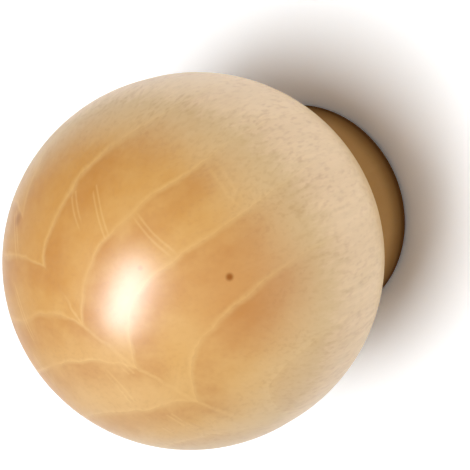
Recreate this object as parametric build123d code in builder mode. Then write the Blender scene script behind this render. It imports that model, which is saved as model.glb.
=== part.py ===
"""Turned wooden ball knob, in millimetres.

The knob stands on its foot: the origin is the centre of the foot's flat face, and +Z runs
along the turning axis, out through the ball. It is one turned piece of wood with a barbed
metal insert pressed into the foot, for a screw that comes through the panel from behind.
"""
import math
import os

from build123d import *

# Ball: two half balls with a short straight belt between them, as it left the lathe, so that
# it is a little longer along the turning axis than it is across
ball_diameter = 35.0
belt_length = 1.3
overall_height = 41.0

# Foot, and the cove between the foot's edge and the crisp line where the ball begins
foot_diameter = 22.5
foot_edge_height = 1.5
foot_edge_round = 0.6
neck_diameter = 19.6
cove_radius = 8.0

# Screw, and the insert that takes it
screw_core_diameter = 3.3
screw_lead_in = 0.4
insert_diameter = 6.0
insert_length = 10.0
insert_recess = 0.3
insert_point = 0.5
barb_height = 0.35
barb_pitch = 2.0
barb_land = 1.2

# Drilled hole in the foot, which goes on past the insert for the end of the screw
screw_end_room = 3.5
drill_point_angle = 118.0
hole_mouth_chamfer = 0.5

ball_radius = ball_diameter / 2
foot_radius = foot_diameter / 2
neck_radius = neck_diameter / 2
insert_radius = insert_diameter / 2
front_centre = overall_height - ball_radius
back_centre = front_centre - belt_length
insert_top = insert_recess + insert_length
hole_depth = insert_top + screw_end_room
drill_point_height = insert_radius / math.tan(math.radians(drill_point_angle / 2))

# Where the back half ball comes in to the neck, as an angle below its widest place
neck_angle = math.degrees(math.acos(neck_radius / ball_radius))


# The outside of the insert: a sleeve with ring barbs, each square towards the mouth so that
# a pull on the knob drives it into the wood, and sloped the other way so that it presses in
with BuildPart() as insert_outside:
    with BuildSketch(Plane.XZ):
        with BuildLine():
            first_barb = insert_recess + barb_land
            barb_room = insert_top - insert_point - first_barb
            outline = [(0, insert_recess), (insert_radius, insert_recess)]
            outline.append((insert_radius, first_barb))
            for barb in range(math.floor(barb_room / barb_pitch)):
                shoulder = first_barb + barb * barb_pitch
                outline.append((insert_radius + barb_height, shoulder))
                outline.append((insert_radius, shoulder + barb_pitch))
            outline.append((insert_radius, insert_top - insert_point))
            outline.append((insert_radius - insert_point, insert_top))
            outline.append((0, insert_top))
            Polyline(*outline, close=True)
        make_face()
    revolve(axis=Axis.Z)


# The knob: foot, cove and ball turned from one blank, with the grain along the axis
with BuildPart() as knob_body:
    with BuildSketch(Plane.XZ):
        with BuildLine():
            foot_face = Line((0, 0), (foot_radius, 0))
            foot_edge = Line(foot_face @ 1, (foot_radius, foot_edge_height))
            back_half = CenterArc((0, back_centre), ball_radius, -neck_angle, neck_angle)
            RadiusArc(foot_edge @ 1, back_half @ 0, cove_radius)
            Line(back_half @ 1, (ball_radius, front_centre))
            CenterArc((0, front_centre), ball_radius, 0, 90)
            Line((0, overall_height), foot_face @ 0)
        make_face()
    revolve(axis=Axis.Z)
    foot_rim = knob_body.edges().filter_by(GeomType.CIRCLE).sort_by(Axis.Z)[0]
    fillet(foot_rim, foot_edge_round)

    # Drilled up into the end grain, the mouth eased, then the insert pressed in
    with BuildSketch(Plane.XZ):
        with BuildLine():
            Polyline(
                (0, 0),
                (insert_radius, 0),
                (insert_radius, hole_depth),
                (0, hole_depth + drill_point_height),
                close=True,
            )
        make_face()
    revolve(axis=Axis.Z, mode=Mode.SUBTRACT)
    hole_mouth = knob_body.faces().sort_by(Axis.Z)[0].inner_wires()[0].edges()
    chamfer(hole_mouth, hole_mouth_chamfer)
    add(insert_outside.part, mode=Mode.SUBTRACT)
knob_body.part.label = "knob_body"


# The insert itself: the sleeve bored through at the screw's core size, eased at its mouth
with BuildPart() as threaded_insert:
    add(insert_outside.part)
    with Locations((0, 0, insert_recess)):
        Hole(screw_core_diameter / 2)
    bore_mouth = threaded_insert.faces().sort_by(Axis.Z)[0].inner_wires()[0].edges()
    chamfer(bore_mouth, screw_lead_in)
threaded_insert.part.label = "threaded_insert"


os.makedirs("parts", exist_ok=True)
export_step(knob_body.part, "parts/knob_body.step")
export_step(threaded_insert.part, "parts/threaded_insert.step")
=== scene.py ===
import math

import bmesh
import bpy
from mathutils import Matrix, Vector


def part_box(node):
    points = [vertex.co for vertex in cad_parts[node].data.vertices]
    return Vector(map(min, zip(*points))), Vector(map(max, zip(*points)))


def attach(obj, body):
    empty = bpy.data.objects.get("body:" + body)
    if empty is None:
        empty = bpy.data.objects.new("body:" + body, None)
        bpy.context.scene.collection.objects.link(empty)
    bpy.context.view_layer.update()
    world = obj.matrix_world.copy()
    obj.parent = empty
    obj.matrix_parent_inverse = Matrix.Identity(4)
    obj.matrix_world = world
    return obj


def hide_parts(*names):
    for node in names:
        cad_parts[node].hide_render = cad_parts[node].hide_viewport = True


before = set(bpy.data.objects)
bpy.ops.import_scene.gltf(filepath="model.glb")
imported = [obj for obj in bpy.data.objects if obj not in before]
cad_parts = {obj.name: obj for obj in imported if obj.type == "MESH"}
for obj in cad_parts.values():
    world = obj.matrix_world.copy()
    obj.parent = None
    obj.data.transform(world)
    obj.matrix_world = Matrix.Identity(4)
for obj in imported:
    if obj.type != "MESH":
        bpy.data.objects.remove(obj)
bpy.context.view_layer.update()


# The surface under the knob: plain white card, wide enough to fill any view. It keeps the knob's
# shadow. The camera and the lacquer see it whiter than the light that it throws back, and further
# off, where the light falls away, they see it as even white.
floor_half = 3.0
card_tone = "#F9F9F9"
plain_white = "#FFFFFF"
seen_white = (1.155, 1.19, 1.23, 1.0)
shadow_reach = 0.12
even_from = 0.20


def linear(hex_colour):
    """An sRGB hex colour as linear red, green, blue and alpha."""
    shares = [int(hex_colour[i : i + 2], 16) / 255 for i in (1, 3, 5)]
    curve = [s / 12.92 if s <= 0.04045 else ((s + 0.055) / 1.055) ** 2.4 for s in shares]
    return (*curve, 1.0)


def add(tree, kind, inputs=None, **settings):
    """Adds one node. An input is a number, a colour, another node's socket, or another node,
    for the first of its outputs."""
    node = tree.nodes.new(kind)
    for name, value in settings.items():
        setattr(node, name, value)
    for key, value in (inputs or {}).items():
        named = [s for s in node.inputs if s.enabled and s.name == key]
        socket = node.inputs[key] if isinstance(key, int) else named[0]
        if isinstance(value, bpy.types.Node):
            value = [s for s in value.outputs if s.enabled][0]
        if isinstance(value, bpy.types.NodeSocket):
            tree.links.new(value, socket)
        else:
            socket.default_value = value
    return node


def new_material(name):
    """An empty node material and its tree."""
    material = bpy.data.materials.new(name)
    material.use_nodes = True
    material.node_tree.nodes.clear()
    return material, material.node_tree


def new_piece(name, bm, *materials):
    """An object at the origin, made from a finished bmesh."""
    mesh = bpy.data.meshes.new(name)
    bm.to_mesh(mesh)
    bm.free()
    for material in materials:
        mesh.materials.append(material)
    piece = bpy.data.objects.new(name, mesh)
    bpy.context.scene.collection.objects.link(piece)
    return piece


def is_seen(tree):
    """1 for a ray from the camera, from gloss or through glass, and 0 for light on its way."""
    path = add(tree, "ShaderNodeLightPath")
    straight = add(tree, "ShaderNodeMath", {0: path.outputs["Is Camera Ray"],
                   1: path.outputs["Is Glossy Ray"]}, operation="MAXIMUM")
    return add(tree, "ShaderNodeMath", {0: straight, 1: path.outputs["Is Transmission Ray"]},
               operation="MAXIMUM")


# Matt card: it throws all its light back softly, with no gloss
white_card, tree = new_material("matt_white_card")
as_lit = add(tree, "ShaderNodeBsdfDiffuse", {"Color": linear(card_tone)})
as_seen = add(tree, "ShaderNodeBsdfDiffuse", {"Color": seen_white})
far_white = add(tree, "ShaderNodeEmission", {"Color": linear(plain_white), "Strength": 1.0})
place = add(tree, "ShaderNodeTexCoord")
from_knob = add(tree, "ShaderNodeVectorMath", {0: place.outputs["Object"]}, operation="LENGTH")
far = add(tree, "ShaderNodeMapRange", {"Value": from_knob.outputs["Value"],
          "From Min": shadow_reach, "From Max": even_from}, interpolation_type="SMOOTHSTEP")
seen_mix = add(tree, "ShaderNodeMixShader", {0: far, 1: as_seen, 2: far_white})
card_mix = add(tree, "ShaderNodeMixShader", {0: is_seen(tree), 1: as_lit, 2: seen_mix})
add(tree, "ShaderNodeOutputMaterial", {"Surface": card_mix})

bm = bmesh.new()
bmesh.ops.create_grid(bm, x_segments=1, y_segments=1, size=floor_half)
floor = new_piece("floor", bm, white_card)


# The camera: a long lens near the knob, looking down on it from in front, about 34 degrees off
# its axis, and rolled over, so that the foot shows past the ball at the upper right.
camera_place = Vector((0.0, -0.10698, 0.18289))
camera_pan = math.radians(-0.38)
camera_tilt = math.radians(32.44)
camera_roll = math.radians(-112.72)
lens_length = 157.39
sensor_width = 36.0

camera = bpy.data.cameras.new("camera")
camera.lens = lens_length
camera.sensor_width = sensor_width
view_turn = (Matrix.Rotation(camera_pan, 4, "Z") @ Matrix.Rotation(camera_tilt, 4, "X")
             @ Matrix.Rotation(camera_roll, 4, "Z"))
camera_object = bpy.data.objects.new("camera", camera)
camera_object.matrix_world = Matrix.Translation(camera_place) @ view_turn
bpy.context.scene.collection.objects.link(camera_object)
bpy.context.scene.camera = camera_object
bpy.context.scene.view_settings.view_transform = "Standard"


# The light, in a white room: a soft box overhead, which lights the knob and makes its shadow, a
# window a little beside it, which is what shines in the lacquer, and a weak card low down behind
# the camera, for the near side. A level is how bright white paper facing the light would be.
light_distance = 0.60
room_level = 0.21
room_tone = "#FFFBF6"
daylight = "#F0F0FF"


def add_light(name, direction, long_side, width, length, level):
    """A flat oblong light that faces the knob, its length along long_side."""
    lamp = bpy.data.lights.new(name, "AREA")
    lamp.shape = "RECTANGLE"
    lamp.size = width
    lamp.size_y = length
    lamp.energy = level * math.pi ** 2 * light_distance ** 2
    facing = Vector(direction).normalized()
    across = Vector(long_side).cross(facing).normalized()
    turn = Matrix((across, facing.cross(across), facing)).transposed()
    placed = bpy.data.objects.new(name, lamp)
    placed.matrix_world = Matrix.Translation(facing * light_distance) @ turn.to_4x4()
    bpy.context.scene.collection.objects.link(placed)
    return placed


soft_box = add_light("soft_box", direction=(-0.034, 0.01, 1.0), long_side=(-0.62, 0.78, 0.0),
                     width=0.27, length=0.36, level=0.90)
soft_box.visible_glossy = False
window = add_light("window", direction=(-0.064, 0.158, 1.0), long_side=(-0.66, 0.755, 0.0),
                   width=0.16, length=0.45, level=2.45)
window.data.color = linear(daylight)[:3]
window.visible_diffuse = False
near_card = add_light("near_card", direction=(-0.15, -1.0, 0.2), long_side=(1.0, -0.15, 0.0),
                      width=0.20, length=0.40, level=0.14)
near_card.visible_glossy = False

room = bpy.data.worlds.new("white_room")
room.use_nodes = True
tree = room.node_tree
tree.nodes.clear()
fill = add(tree, "ShaderNodeBackground", {"Color": linear(room_tone), "Strength": room_level})
seen = add(tree, "ShaderNodeBackground", {"Color": linear(plain_white), "Strength": 1.0})
room_mix = add(tree, "ShaderNodeMixShader", {0: is_seen(tree), 1: fill, 2: seen})
add(tree, "ShaderNodeOutputWorld", {"Surface": room_mix})
bpy.context.scene.world = room


# The knob: ball, neck and foot turned from one blank of birch with the grain along the axis,
# sanded, and dipped in clear lacquer. A hole is drilled up into the foot, its walls left bare,
# and barbs of the insert bite into them.
mm = 0.001
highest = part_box("knob_body")[1]
ball_radius = highest.x
ball_top = highest.z
belt_length = 1.3 * mm
neck_radius = 9.8 * mm
neck_softness = 0.18 * mm
cove_radius = 8.0 * mm
foot_radius = 11.25 * mm
foot_edge_height = 1.5 * mm
foot_edge_round = 0.6 * mm
hole_radius = 3.0 * mm
hole_depth = 13.8 * mm
hole_mouth = 0.5 * mm
drill_point_angle = math.radians(118)
insert_bottom = 0.3 * mm
insert_top = 10.3 * mm
insert_point = 0.5 * mm
barb_height = 0.35 * mm
barb_pitch = 2.0 * mm
barb_land = 1.2 * mm
front_steps = 72
back_steps = 48
cove_steps = 20
turned_steps = 192
merge_reach = 0.001 * mm
same_place = 0.01 * mm


def line_to(bm, start, radius, height):
    """A straight stretch of a turned profile, from the vertex start. Gives the new vertex."""
    end = bmesh.ops.extrude_vert_indiv(bm, verts=[start])["verts"][0]
    end.co = (radius, 0.0, height)
    return end


def arc_to(bm, start, radius, height, angle, steps):
    """A round stretch of a turned profile, about the centre at that radius and height."""
    swept = bmesh.ops.spin(bm, geom=[start], cent=(radius, 0.0, height), axis=(0.0, 1.0, 0.0),
                           angle=angle, steps=steps)
    return [part for part in swept["geom_last"] if isinstance(part, bmesh.types.BMVert)][0]


def barbs_to(bm, start):
    """The barbed stretch from the sleeve's lower rim up to its point. Gives the last vertex."""
    first_barb = insert_bottom + barb_land
    room_for_barbs = insert_top - insert_point - first_barb
    end = line_to(bm, start, hole_radius, first_barb)
    for barb in range(math.floor(room_for_barbs / barb_pitch)):
        shoulder = first_barb + barb * barb_pitch
        end = line_to(bm, end, hole_radius + barb_height, shoulder)
        end = line_to(bm, end, hole_radius, shoulder + barb_pitch)
    return line_to(bm, end, hole_radius, insert_top - insert_point)


def turn_on_lathe(bm):
    """Spins the profile into a closed body about Z, and merges its seam and poles."""
    bmesh.ops.spin(bm, geom=bm.verts[:] + bm.edges[:], cent=(0.0, 0.0, 0.0), axis=(0.0, 0.0, 1.0),
                   angle=math.tau, steps=turned_steps, use_merge=True)
    bmesh.ops.remove_doubles(bm, verts=bm.verts[:], dist=merge_reach)
    bmesh.ops.recalc_face_normals(bm, faces=bm.faces[:])


def rings_at(bm, radius, height):
    """The edges of the turned ring at that radius and height."""
    def on_ring(vert):
        return (abs(vert.co.xy.length - radius) < same_place
                and abs(vert.co.z - height) < same_place)
    return [edge for edge in bm.edges if on_ring(edge.verts[0]) and on_ring(edge.verts[1])]


def soften(bm, edges, width, segments):
    """Rounds the edges over by that width."""
    bmesh.ops.bevel(bm, geom=edges, offset=width, offset_type="OFFSET", affect="EDGES",
                    segments=segments, profile=0.5, material=-1)


front_centre = ball_top - ball_radius
back_centre = front_centre - belt_length
neck_angle = math.acos(neck_radius / ball_radius)
neck_height = back_centre - ball_radius * math.sin(neck_angle)
drill_tip = hole_depth + hole_radius / math.tan(drill_point_angle / 2)

# The cove's centre stands outside the neck, square to the middle of the line between its ends
cove_top = Vector((neck_radius, neck_height))
cove_foot = Vector((foot_radius, foot_edge_height))
cove_chord = cove_foot - cove_top
cove_outward = Vector((-cove_chord.y, cove_chord.x)).normalized()
cove_reach = math.sqrt(cove_radius ** 2 - (cove_chord.length / 2) ** 2)
cove_centre = (cove_top + cove_foot) / 2 + cove_outward * cove_reach
cove_angle = 2 * math.asin(cove_chord.length / 2 / cove_radius)

bm = bmesh.new()
crown = bm.verts.new((0.0, 0.0, ball_top))
widest = arc_to(bm, crown, 0.0, front_centre, math.pi / 2, front_steps)
belt = line_to(bm, widest, ball_radius, back_centre)
neck = arc_to(bm, belt, 0.0, back_centre, neck_angle, back_steps)
flare = arc_to(bm, neck, cove_centre.x, cove_centre.y, -cove_angle, cove_steps)
rim = line_to(bm, flare, foot_radius, 0.0)
mouth = line_to(bm, rim, hole_radius + hole_mouth, 0.0)
collar = line_to(bm, mouth, hole_radius, hole_mouth)
point = barbs_to(bm, collar)
hole_end = line_to(bm, point, hole_radius, hole_depth)
line_to(bm, hole_end, 0.0, drill_tip)
turn_on_lathe(bm)
soften(bm, rings_at(bm, neck_radius, neck_height), neck_softness, segments=4)
soften(bm, rings_at(bm, foot_radius, 0.0), foot_edge_round, segments=8)
for face in bm.faces:
    face.smooth = True
    middle = face.calc_center_median()
    drilled = middle.xy.length < hole_radius + barb_height and middle.z < drill_tip
    face.material_index = 1 if drilled else 0
bmesh.ops.recalc_face_normals(bm, faces=bm.faces[:])

# Birch, cut through by the lathe. From here to the end of the wood, lengths are millimetres, and
# a pattern's size is given across, across and along the blank. The blank is turned a quarter
# about its axis, and is a little crooked: a slow bend and a fine one.
blank_turn = math.pi / 2
slow_wave = (9.09, 9.09, 22.2)
slow_bend = (3.0, 3.0, 0.0)
fine_wave = (1.667, 1.667, 8.33)
fine_bend = (0.7, 0.7, 0.0)

# Growth rings. They fold in sharply along a seam, as they do beside a branch, and the fold dies
# away on both sides of it. Where the late wood and the pale lines begin are shares of a ring.
ring_pitch = 5.4
ring_start = -1.0
seam_place = -1.47
seam_lean = 0.42
seam_line_width = 0.3
seam_line_end = 3.0
outer_slope = 0.25
outer_fold = 4.9
outer_fold_width = 4.4
inner_fold = 2.6
inner_fold_width = 1.75
late_wood_begins = 0.2
late_wood_full = 0.75
ring_line_begins = 0.91

# Rays, thin sheets of cells that stand across the rings. Each is cut as a pair of pale lines
ray_turn = math.radians(-18)
ray_length = 6.0
ray_gap = 0.22
ray_width = 0.17
ray_spacing = (2.0, 8.0, 2.0)
ray_rarity = 0.86
ray_places = ((7.6, 3.4, 0.0), (12.85, 5.0, 0.0))

# Clouds of deeper and paler wood, fibres, and pores, which are vessels cut open. The pores are
# drawn about twice as wide as in the wood, so that they show
cloud_size = (3.333, 3.333, 8.333)
cloud_start = (3.0, 7.0, 0.0)
fibre_size = (0.625, 0.625, 6.25)
pore_size = (0.3704, 0.3704, 1.111)
pores_begin = 0.42
pores_full = 0.82

# The core of the blank, deeper in colour towards one side and where the clouds are, and the way
# out from it to tan and cream
core_centre = (0.1, -0.45, 0.0)
core_unevenness = 1.2
tan_begins = 11.9
tan_full = 17.1
cream_begins = 16.2
cream_full = 17.9
deeper_towards = (-0.42, 0.91, 0.0)
deeper_from = -18.0
deeper_to = 20.0
side_depth = (-0.45, 0.55)
cloud_depth = 0.5
fine_depth = 0.4
core_light = "#DCB06F"
core_deep = "#C88A30"
outer_tan = "#E1C08D"
outer_cream = "#FFDFB6"

# Colours of the figure, and how strongly each shows in the core and outside it. It is whole
# where the clouds are dense, and down to a third elsewhere. Pores reach their full strength
# nearer the core
late_wood = "#B06A2A"
late_wood_share = (0.32, 0.06)
ring_line = "#F0CE8C"
ring_line_share = (0.29, 0.08)
ray_line_share = (0.22, 0.0)
pore_brown = "#BC8650"
pore_share = (0.22, 0.3)
pores_full_out = 0.4
whole_clouds = (0.35, 0.6)
least_figure = 0.35

# Two soft patches, one redder, and one paler, which is painted light on one side of the ball's
# crown, and three small brown specks. Each speck has its place, its size and its depth of colour
red_patch = "#B76B30"
red_patch_place = (12.6, -4.5, 35.0)
red_patch_share = 0.36
painted_light_tone = "#EAC38B"
painted_light_place = (-3.6, -8.0, 38.2)
painted_light_share = 0.45
patch_size = 8.5
speck_brown = "#965402"
specks = (((11.66, -2.48, 36.31), 0.5, 1.0), ((-6.58, 9.6, 36.57), 0.9, 0.4),
          ((5.99, 1.2, 39.9), 0.35, 0.35))

# The foot: browner from the cove down, which is painted shade under the ball, and dark at
# the rim, which is a painted contact shadow where the foot meets the surface
foot_shade_brown = "#B5884B"
foot_shade_share = 0.85
foot_shade_begins = 9.0
foot_shade_full = 5.0
# The rim's painted contact shadow: its colour, the heights over which it comes in, and the radii
# on the rim's outer side
rim_shade_brown = "#62401F"
rim_shade_begins = 2.9
rim_shade_full = 0.8
rim_begins = 9.2
rim_full = 10.2
coat_on_ball = 0.8


def per_size(sizes):
    """A Mapping's scale that makes each of these sizes one unit long."""
    return [1.0 / size for size in sizes]


def crooked_blank(tree):
    """Places in the blank: true, gently bent, and crooked, and the noise that makes them crooked.
    The bends come to about 0.9 and 0.15 mm."""
    place = add(tree, "ShaderNodeTexCoord")
    blank = add(tree, "ShaderNodeMapping", {"Vector": place.outputs["Object"],
                "Rotation": (0.0, 0.0, blank_turn), "Scale": per_size((mm, mm, mm))})
    slow_place = add(tree, "ShaderNodeMapping", {"Vector": blank, "Scale": per_size(slow_wave)})
    slow = add(tree, "ShaderNodeTexNoise", {"Vector": slow_place, "Scale": 1.0, "Detail": 1.0})
    slow_drift = add(tree, "ShaderNodeVectorMath", {0: slow.outputs["Color"],
                     1: (-0.5, -0.5, -0.5)}, operation="ADD")
    bent = add(tree, "ShaderNodeVectorMath", {0: slow_drift, 1: slow_bend, 2: blank},
               operation="MULTIPLY_ADD")
    fine_place = add(tree, "ShaderNodeMapping", {"Vector": blank, "Scale": per_size(fine_wave)})
    fine = add(tree, "ShaderNodeTexNoise", {"Vector": fine_place, "Scale": 1.0, "Detail": 2.0})
    fine_drift = add(tree, "ShaderNodeVectorMath", {0: fine.outputs["Color"],
                     1: (-0.5, -0.5, -0.5)}, operation="ADD")
    crooked = add(tree, "ShaderNodeVectorMath", {0: fine_drift, 1: fine_bend, 2: bent},
                  operation="MULTIPLY_ADD")
    return blank, bent, crooked, fine


def growth_rings(tree, crooked):
    """The late wood of each ring, and the pale lines that close the rings and follow the seam."""
    split = add(tree, "ShaderNodeSeparateXYZ", {"Vector": crooked})
    x, y = split.outputs["X"], split.outputs["Y"]

    # How far each place lies past the seam, and how much of the fold is left there
    leaned = add(tree, "ShaderNodeMath", {0: y, 1: seam_lean, 2: x}, operation="MULTIPLY_ADD")
    past = add(tree, "ShaderNodeMath", {0: leaned, 1: seam_place}, operation="SUBTRACT")
    outer = add(tree, "ShaderNodeMath", {0: past, 1: 0.0}, operation="MAXIMUM")
    outer_decay = add(tree, "ShaderNodeMath", {0: outer, 1: -1.0 / outer_fold_width},
                      operation="MULTIPLY")
    outer_left = add(tree, "ShaderNodeMath", {0: outer_decay}, operation="EXPONENT")
    inner = add(tree, "ShaderNodeMath", {0: past, 1: 0.0}, operation="MINIMUM")
    inner_decay = add(tree, "ShaderNodeMath", {0: inner, 1: 1.0 / inner_fold_width},
                      operation="MULTIPLY")
    inner_left = add(tree, "ShaderNodeMath", {0: inner_decay}, operation="EXPONENT")

    # The distance that the tree had grown there, counted across the folded rings
    sloped = add(tree, "ShaderNodeMath", {0: outer, 1: -outer_slope, 2: y},
                 operation="MULTIPLY_ADD")
    outer_folded = add(tree, "ShaderNodeMath", {0: outer_left, 1: outer_fold, 2: sloped},
                       operation="MULTIPLY_ADD")
    folded = add(tree, "ShaderNodeMath", {0: inner_left, 1: inner_fold, 2: outer_folded},
                 operation="MULTIPLY_ADD")
    growth = add(tree, "ShaderNodeMath", {0: folded, 1: ring_start + outer_fold + inner_fold},
                 operation="SUBTRACT")
    rings = add(tree, "ShaderNodeMath", {0: growth, 1: ring_pitch}, operation="DIVIDE")
    season = add(tree, "ShaderNodeMath", {0: rings}, operation="FRACT")
    late = add(tree, "ShaderNodeMapRange", {"Value": season, "From Min": late_wood_begins,
               "From Max": late_wood_full}, interpolation_type="SMOOTHSTEP")

    # A line is centred on the ring's end, which is half a season from its middle on both sides
    from_middle = add(tree, "ShaderNodeMath", {0: season, 1: 0.5}, operation="SUBTRACT")
    either_way = add(tree, "ShaderNodeMath", {0: from_middle}, operation="ABSOLUTE")
    line = add(tree, "ShaderNodeMapRange", {"Value": either_way,
               "From Min": ring_line_begins - 0.5, "From Max": 0.5},
               interpolation_type="SMOOTHSTEP")
    seam_away = add(tree, "ShaderNodeMath", {0: past}, operation="ABSOLUTE")
    seam_near = add(tree, "ShaderNodeMapRange", {"Value": seam_away,
                    "From Min": seam_line_width, "From Max": 0.0},
                    interpolation_type="SMOOTHSTEP")
    seam_folded = add(tree, "ShaderNodeMapRange", {"Value": y, "From Min": seam_line_end,
                      "From Max": 0.0}, interpolation_type="SMOOTHSTEP")
    seam = add(tree, "ShaderNodeMath", {0: seam_near, 1: seam_folded}, operation="MULTIPLY")
    pale_line = add(tree, "ShaderNodeMath", {0: line, 1: seam}, operation="MAXIMUM")
    return late, pale_line


def ray_pair(tree, offset):
    """Two thin lines side by side. The offset runs across them in X and along them in Y."""
    away = add(tree, "ShaderNodeVectorMath", {0: offset}, operation="ABSOLUTE")
    split = add(tree, "ShaderNodeSeparateXYZ", {"Vector": away})
    beside = add(tree, "ShaderNodeMath", {0: split.outputs["X"], 1: ray_gap},
                 operation="SUBTRACT")
    from_line = add(tree, "ShaderNodeMath", {0: beside}, operation="ABSOLUTE")
    lines = add(tree, "ShaderNodeMapRange", {"Value": from_line, "From Min": ray_width,
                "From Max": 0.0}, interpolation_type="SMOOTHSTEP")
    ends = add(tree, "ShaderNodeMapRange", {"Value": split.outputs["Y"],
               "From Min": ray_length / 2, "From Max": ray_length / 4},
               interpolation_type="SMOOTHSTEP")
    return add(tree, "ShaderNodeMath", {0: lines, 1: ends}, operation="MULTIPLY")


def all_rays(tree, bent):
    """Ray pairs in the middle of about one cell in seven, and the two that have set places."""
    cell_place = add(tree, "ShaderNodeMapping", {"Vector": bent,
                     "Rotation": (0.0, 0.0, ray_turn), "Scale": per_size(ray_spacing)})
    cells = add(tree, "ShaderNodeTexVoronoi", {"Vector": cell_place, "Scale": 1.0})
    in_cell = add(tree, "ShaderNodeVectorMath", {0: cell_place, 1: cells.outputs["Position"]},
                  operation="SUBTRACT")
    cell_offset = add(tree, "ShaderNodeVectorMath", {0: in_cell, 1: ray_spacing},
                      operation="MULTIPLY")
    draw = add(tree, "ShaderNodeSeparateXYZ", {"Vector": cells.outputs["Color"]})
    picked = add(tree, "ShaderNodeMath", {0: draw.outputs["X"], 1: ray_rarity},
                 operation="GREATER_THAN")
    rays = add(tree, "ShaderNodeMath", {0: ray_pair(tree, cell_offset), 1: picked},
               operation="MULTIPLY")
    for ray_place in ray_places:
        turned_place = Matrix.Rotation(ray_turn, 3, "Z") @ Vector(ray_place)
        offset = add(tree, "ShaderNodeMapping", {"Vector": bent,
                     "Rotation": (0.0, 0.0, ray_turn), "Location": -turned_place})
        rays = add(tree, "ShaderNodeMath", {0: ray_pair(tree, offset), 1: rays},
                   operation="MAXIMUM")
    return rays


def smudge(tree, blank, place, reach):
    """A soft round patch about a place in the blank: 1 near its middle, 0 at its reach."""
    away = add(tree, "ShaderNodeVectorMath", {0: blank, 1: place}, operation="DISTANCE")
    return add(tree, "ShaderNodeMapRange", {"Value": away.outputs["Value"], "From Min": reach,
               "From Max": reach / 5}, interpolation_type="SMOOTHSTEP")


def stain(tree, ground, share, hex_colour):
    """The ground, with the share of this colour over it."""
    return add(tree, "ShaderNodeMix", {"Factor": share, "A": ground, "B": linear(hex_colour)},
               data_type="RGBA")


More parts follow.
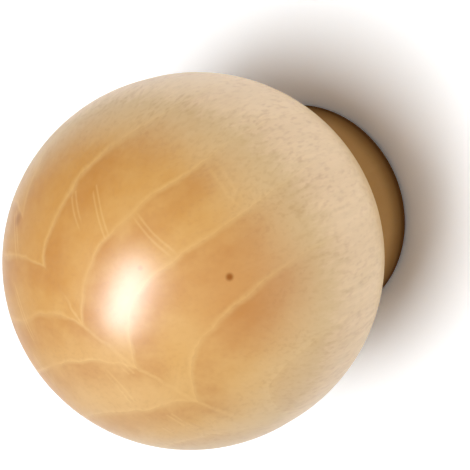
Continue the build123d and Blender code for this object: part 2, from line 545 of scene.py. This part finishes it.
def birch(tree):
    """The wood's colour, the height of its grain, and how much lacquer lies on it."""
    blank, bent, crooked, fine = crooked_blank(tree)
    late, pale_line = growth_rings(tree, crooked)
    rays = all_rays(tree, bent)
    cloud_place = add(tree, "ShaderNodeMapping", {"Vector": blank, "Location": cloud_start,
                      "Scale": per_size(cloud_size)})
    clouds = add(tree, "ShaderNodeTexNoise", {"Vector": cloud_place, "Scale": 1.0, "Detail": 3.0,
                 "Roughness": 0.6})
    fibre_place = add(tree, "ShaderNodeMapping", {"Vector": blank,
                      "Scale": per_size(fibre_size)})
    fibres = add(tree, "ShaderNodeTexNoise", {"Vector": fibre_place, "Scale": 1.0, "Detail": 3.0,
                 "Roughness": 0.6})
    pore_place = add(tree, "ShaderNodeMapping", {"Vector": bent, "Scale": per_size(pore_size)})
    pore_noise = add(tree, "ShaderNodeTexNoise", {"Vector": pore_place, "Scale": 1.0,
                     "Detail": 1.0})
    pores = add(tree, "ShaderNodeMapRange", {"Value": pore_noise, "From Min": pores_begin,
                "From Max": pores_full}, interpolation_type="SMOOTHSTEP")

    # How far out each place lies from the core, with an edge that follows the fibres
    out_from_core = add(tree, "ShaderNodeVectorMath", {0: blank, 1: core_centre},
                        operation="SUBTRACT")
    flat = add(tree, "ShaderNodeVectorMath", {0: out_from_core, 1: (1.0, 1.0, 0.0)},
               operation="MULTIPLY")
    from_core = add(tree, "ShaderNodeVectorMath", {0: flat}, operation="LENGTH")
    fibre_lean = add(tree, "ShaderNodeMath", {0: fibres, 1: 0.5}, operation="SUBTRACT")
    uneven = add(tree, "ShaderNodeMath", {0: fibre_lean, 1: core_unevenness,
                 2: from_core.outputs["Value"]}, operation="MULTIPLY_ADD")
    outside = add(tree, "ShaderNodeMapRange", {"Value": uneven, "From Min": tan_begins,
                  "From Max": tan_full}, interpolation_type="SMOOTHSTEP")
    outermost = add(tree, "ShaderNodeMapRange", {"Value": uneven, "From Min": cream_begins,
                    "From Max": cream_full}, interpolation_type="SMOOTHSTEP")

    # The ground colour: deeper towards one side and in the clouds, then tan, then cream
    sideways = add(tree, "ShaderNodeVectorMath", {0: blank, 1: deeper_towards},
                   operation="DOT_PRODUCT")
    deeper_side = add(tree, "ShaderNodeMapRange", {"Value": sideways.outputs["Value"],
                      "From Min": deeper_from, "From Max": deeper_to,
                      "To Min": side_depth[0], "To Max": side_depth[1]})
    cloudy = add(tree, "ShaderNodeMath", {0: clouds, 1: cloud_depth, 2: deeper_side},
                 operation="MULTIPLY_ADD")
    depth = add(tree, "ShaderNodeMath", {0: fine, 1: fine_depth, 2: cloudy},
                operation="MULTIPLY_ADD")
    core = add(tree, "ShaderNodeMix", {"Factor": depth, "A": linear(core_light),
               "B": linear(core_deep)}, data_type="RGBA")
    ground = stain(tree, stain(tree, core, outside, outer_tan), outermost, outer_cream)
    redder = add(tree, "ShaderNodeMath", {0: smudge(tree, blank, red_patch_place, patch_size),
                 1: red_patch_share}, operation="MULTIPLY")
    # The paler patch is painted light
    painted_light = add(tree, "ShaderNodeMath", {0: smudge(tree, blank, painted_light_place, patch_size),
                1: painted_light_share}, operation="MULTIPLY")
    colour = stain(tree, stain(tree, ground, redder, red_patch), painted_light, painted_light_tone)

    # The figure over it. It is stronger in the core, and comes and goes with the clouds
    patchy = add(tree, "ShaderNodeMapRange", {"Value": clouds, "From Min": whole_clouds[0],
                 "From Max": whole_clouds[1], "To Min": least_figure})
    for figure, strengths, full_out, wholeness, tone in (
            (late, late_wood_share, 1.0, patchy, late_wood),
            (pale_line, ring_line_share, 1.0, patchy, ring_line),
            (rays, ray_line_share, 1.0, 1.0, ring_line),
            (pores, pore_share, pores_full_out, patchy, pore_brown)):
        strength = add(tree, "ShaderNodeMapRange", {"Value": outside, "From Max": full_out,
                       "To Min": strengths[0], "To Max": strengths[1]})
        held = add(tree, "ShaderNodeMath", {0: strength, 1: wholeness}, operation="MULTIPLY")
        share = add(tree, "ShaderNodeMath", {0: figure, 1: held}, operation="MULTIPLY")
        colour = stain(tree, colour, share, tone)
    for speck_place, speck_size, speck_depth in specks:
        share = add(tree, "ShaderNodeMath", {0: smudge(tree, blank, speck_place, speck_size),
                    1: speck_depth}, operation="MULTIPLY")
        colour = stain(tree, colour, share, speck_brown)

    # Painted shade on the foot, cove to rim. The lacquer thins out to none on the rim
    split = add(tree, "ShaderNodeSeparateXYZ", {"Vector": blank})
    # Painted shade under the ball, browner lower down the foot
    low = add(tree, "ShaderNodeMapRange", {"Value": split.outputs["Z"],
              "From Min": foot_shade_begins, "From Max": foot_shade_full},
              interpolation_type="SMOOTHSTEP")
    painted_foot_shade = add(tree, "ShaderNodeMath", {0: low, 1: foot_shade_share}, operation="MULTIPLY")
    # Painted contact shadow, low down on the rim's outer side
    near_end = add(tree, "ShaderNodeMapRange", {"Value": split.outputs["Z"],
                   "From Min": rim_shade_begins, "From Max": rim_shade_full},
                   interpolation_type="SMOOTHSTEP")
    near_rim = add(tree, "ShaderNodeMapRange", {"Value": from_core.outputs["Value"],
                   "From Min": rim_begins, "From Max": rim_full},
                   interpolation_type="SMOOTHSTEP")
    painted_rim_shade = add(tree, "ShaderNodeMath", {0: near_end, 1: near_rim}, operation="MULTIPLY")
    colour = stain(tree, stain(tree, colour, painted_foot_shade, foot_shade_brown), painted_rim_shade, rim_shade_brown)
    # Where both painted shades lie, the coat thins out
    foot_shade_sum = add(tree, "ShaderNodeMath", {0: low, 1: painted_rim_shade}, operation="ADD")
    coat = add(tree, "ShaderNodeMapRange", {"Value": foot_shade_sum, "From Max": 2.0,
               "To Min": coat_on_ball, "To Max": 0.0})
    height = add(tree, "ShaderNodeMath", {0: fibres, 1: pores}, operation="SUBTRACT")
    return colour, height, coat


# Sanded birch under clear lacquer: the wood itself is matt, and a soft, even coat shines over it
lacquered_birch, tree = new_material("lacquered_birch")
colour, height, coat = birch(tree)
under_lacquer = add(tree, "ShaderNodeBump", {"Height": height, "Strength": 0.1,
                    "Distance": 0.1 * mm})
wood = add(tree, "ShaderNodeBsdfPrincipled", {"Base Color": colour, "Roughness": 0.45,
           "Specular IOR Level": 0.0, "Normal": under_lacquer, "Coat Weight": coat,
           "Coat Roughness": 0.34, "Coat IOR": 1.5})
add(tree, "ShaderNodeOutputMaterial", {"Surface": wood})

# The same wood left bare by the drill: dull, with its fibres torn up
bare_birch, tree = new_material("drilled_birch")
colour, height, coat = birch(tree)
torn = add(tree, "ShaderNodeBump", {"Height": height, "Strength": 0.5, "Distance": 0.2 * mm})
wood = add(tree, "ShaderNodeBsdfPrincipled", {"Base Color": colour, "Roughness": 0.8,
           "IOR": 1.45, "Normal": torn})
add(tree, "ShaderNodeOutputMaterial", {"Surface": wood})

knob = new_piece("turned_knob", bm, lacquered_birch, bare_birch)
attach(knob, "root")
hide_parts("knob_body")


# The insert: a turned brass sleeve with ring barbs, pushed up into the foot, and tapped M4 for
# the screw that comes through the panel from behind.
thread_pitch = 0.7 * mm
thread_core = 1.65 * mm
thread_outer = 2.0 * mm
thread_crest = thread_pitch / 4
thread_root = thread_pitch / 8
thread_flank = (thread_pitch - thread_crest - thread_root) / 2
thread_relief = 0.05 * mm
thread_steps = 48
sleeve_steps = 96
lead_in = 0.4 * mm
tool_feed = 0.0785
tarnish_size = 1.25
brass_yellow = "#C9A25A"
brass_tarnish = "#A9854A"


def open_ring(bm, height):
    """The open edges of a shell at that height."""
    return [edge for edge in bm.edges if edge.is_boundary
            and all(abs(vert.co.z - height) < same_place for vert in edge.verts)]


# One turn of the thread's form, wound upward past both ends, and cut off square there
bm = bmesh.new()
form = bm.verts.new((thread_core, 0.0, insert_bottom + lead_in - thread_pitch))
crest = line_to(bm, form, thread_core, form.co.z + thread_crest)
root = line_to(bm, crest, thread_outer, crest.co.z + thread_flank)
root_end = line_to(bm, root, thread_outer, root.co.z + thread_root)
line_to(bm, root_end, thread_core, root_end.co.z + thread_flank)
turns = math.ceil((insert_top - insert_bottom) / thread_pitch) + 2
bmesh.ops.spin(bm, geom=bm.verts[:] + bm.edges[:], cent=(0.0, 0.0, 0.0), axis=(0.0, 0.0, 1.0),
               dvec=(0.0, 0.0, thread_pitch / thread_steps), angle=math.tau * turns,
               steps=thread_steps * turns)
bmesh.ops.remove_doubles(bm, verts=bm.verts[:], dist=merge_reach)
bmesh.ops.bisect_plane(bm, geom=bm.verts[:] + bm.edges[:] + bm.faces[:],
                       plane_co=(0.0, 0.0, insert_bottom + lead_in), plane_no=(0.0, 0.0, -1.0),
                       clear_outer=True)
bmesh.ops.bisect_plane(bm, geom=bm.verts[:] + bm.edges[:] + bm.faces[:],
                       plane_co=(0.0, 0.0, insert_top), plane_no=(0.0, 0.0, 1.0),
                       clear_outer=True)
thread_parts = set(bm.verts)

# The sleeve around it, turned like the knob, and joined to the thread at both ends
inside = bm.verts.new((thread_core + lead_in, 0.0, insert_bottom))
outside = line_to(bm, inside, hole_radius, insert_bottom)
tip = barbs_to(bm, outside)
nose = line_to(bm, tip, hole_radius - insert_point, insert_top)
line_to(bm, nose, thread_outer + thread_relief, insert_top)
sleeve = [vert for vert in bm.verts if vert not in thread_parts]
sleeve_edges = [edge for edge in bm.edges if edge.verts[0] in sleeve]
bmesh.ops.spin(bm, geom=sleeve + sleeve_edges, cent=(0.0, 0.0, 0.0), axis=(0.0, 0.0, 1.0),
               angle=math.tau, steps=sleeve_steps, use_merge=True)
bmesh.ops.remove_doubles(bm, verts=bm.verts[:], dist=merge_reach)
thread_start = open_ring(bm, insert_bottom + lead_in)
bmesh.ops.bridge_loops(bm, edges=thread_start + open_ring(bm, insert_bottom))
bmesh.ops.bridge_loops(bm, edges=open_ring(bm, insert_top))
bmesh.ops.recalc_face_normals(bm, faces=bm.faces[:])

# Yellow brass, turned: bright, a little tarnished, with the tool's fine rings round it. The feed
# and the tarnish's size are millimetres. At a scale of one, a wave's rings are tau / 20 apart
turned_brass, tree = new_material("turned_brass")
place = add(tree, "ShaderNodeTexCoord")
brass_place = add(tree, "ShaderNodeMapping", {"Vector": place.outputs["Object"],
                  "Scale": per_size((mm, mm, mm))})
tool_marks = add(tree, "ShaderNodeTexWave", {"Vector": brass_place,
                 "Scale": math.tau / 20 / tool_feed, "Distortion": 0.6, "Detail": 1.0},
                 wave_type="RINGS", rings_direction="Z")
tarnish = add(tree, "ShaderNodeTexNoise", {"Vector": brass_place, "Scale": 1.0 / tarnish_size,
              "Detail": 3.0})
tool_bump = add(tree, "ShaderNodeBump", {"Height": tool_marks, "Strength": 0.2,
                "Distance": 0.02 * mm})
brass_colour = add(tree, "ShaderNodeMix", {"Factor": tarnish, "A": linear(brass_yellow),
                   "B": linear(brass_tarnish)}, data_type="RGBA")
brass = add(tree, "ShaderNodeBsdfPrincipled", {"Base Color": brass_colour, "Metallic": 1.0,
            "Roughness": 0.28, "Normal": tool_bump})
add(tree, "ShaderNodeOutputMaterial", {"Surface": brass})

insert = new_piece("brass_insert", bm, turned_brass)
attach(insert, "root")
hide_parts("threaded_insert")
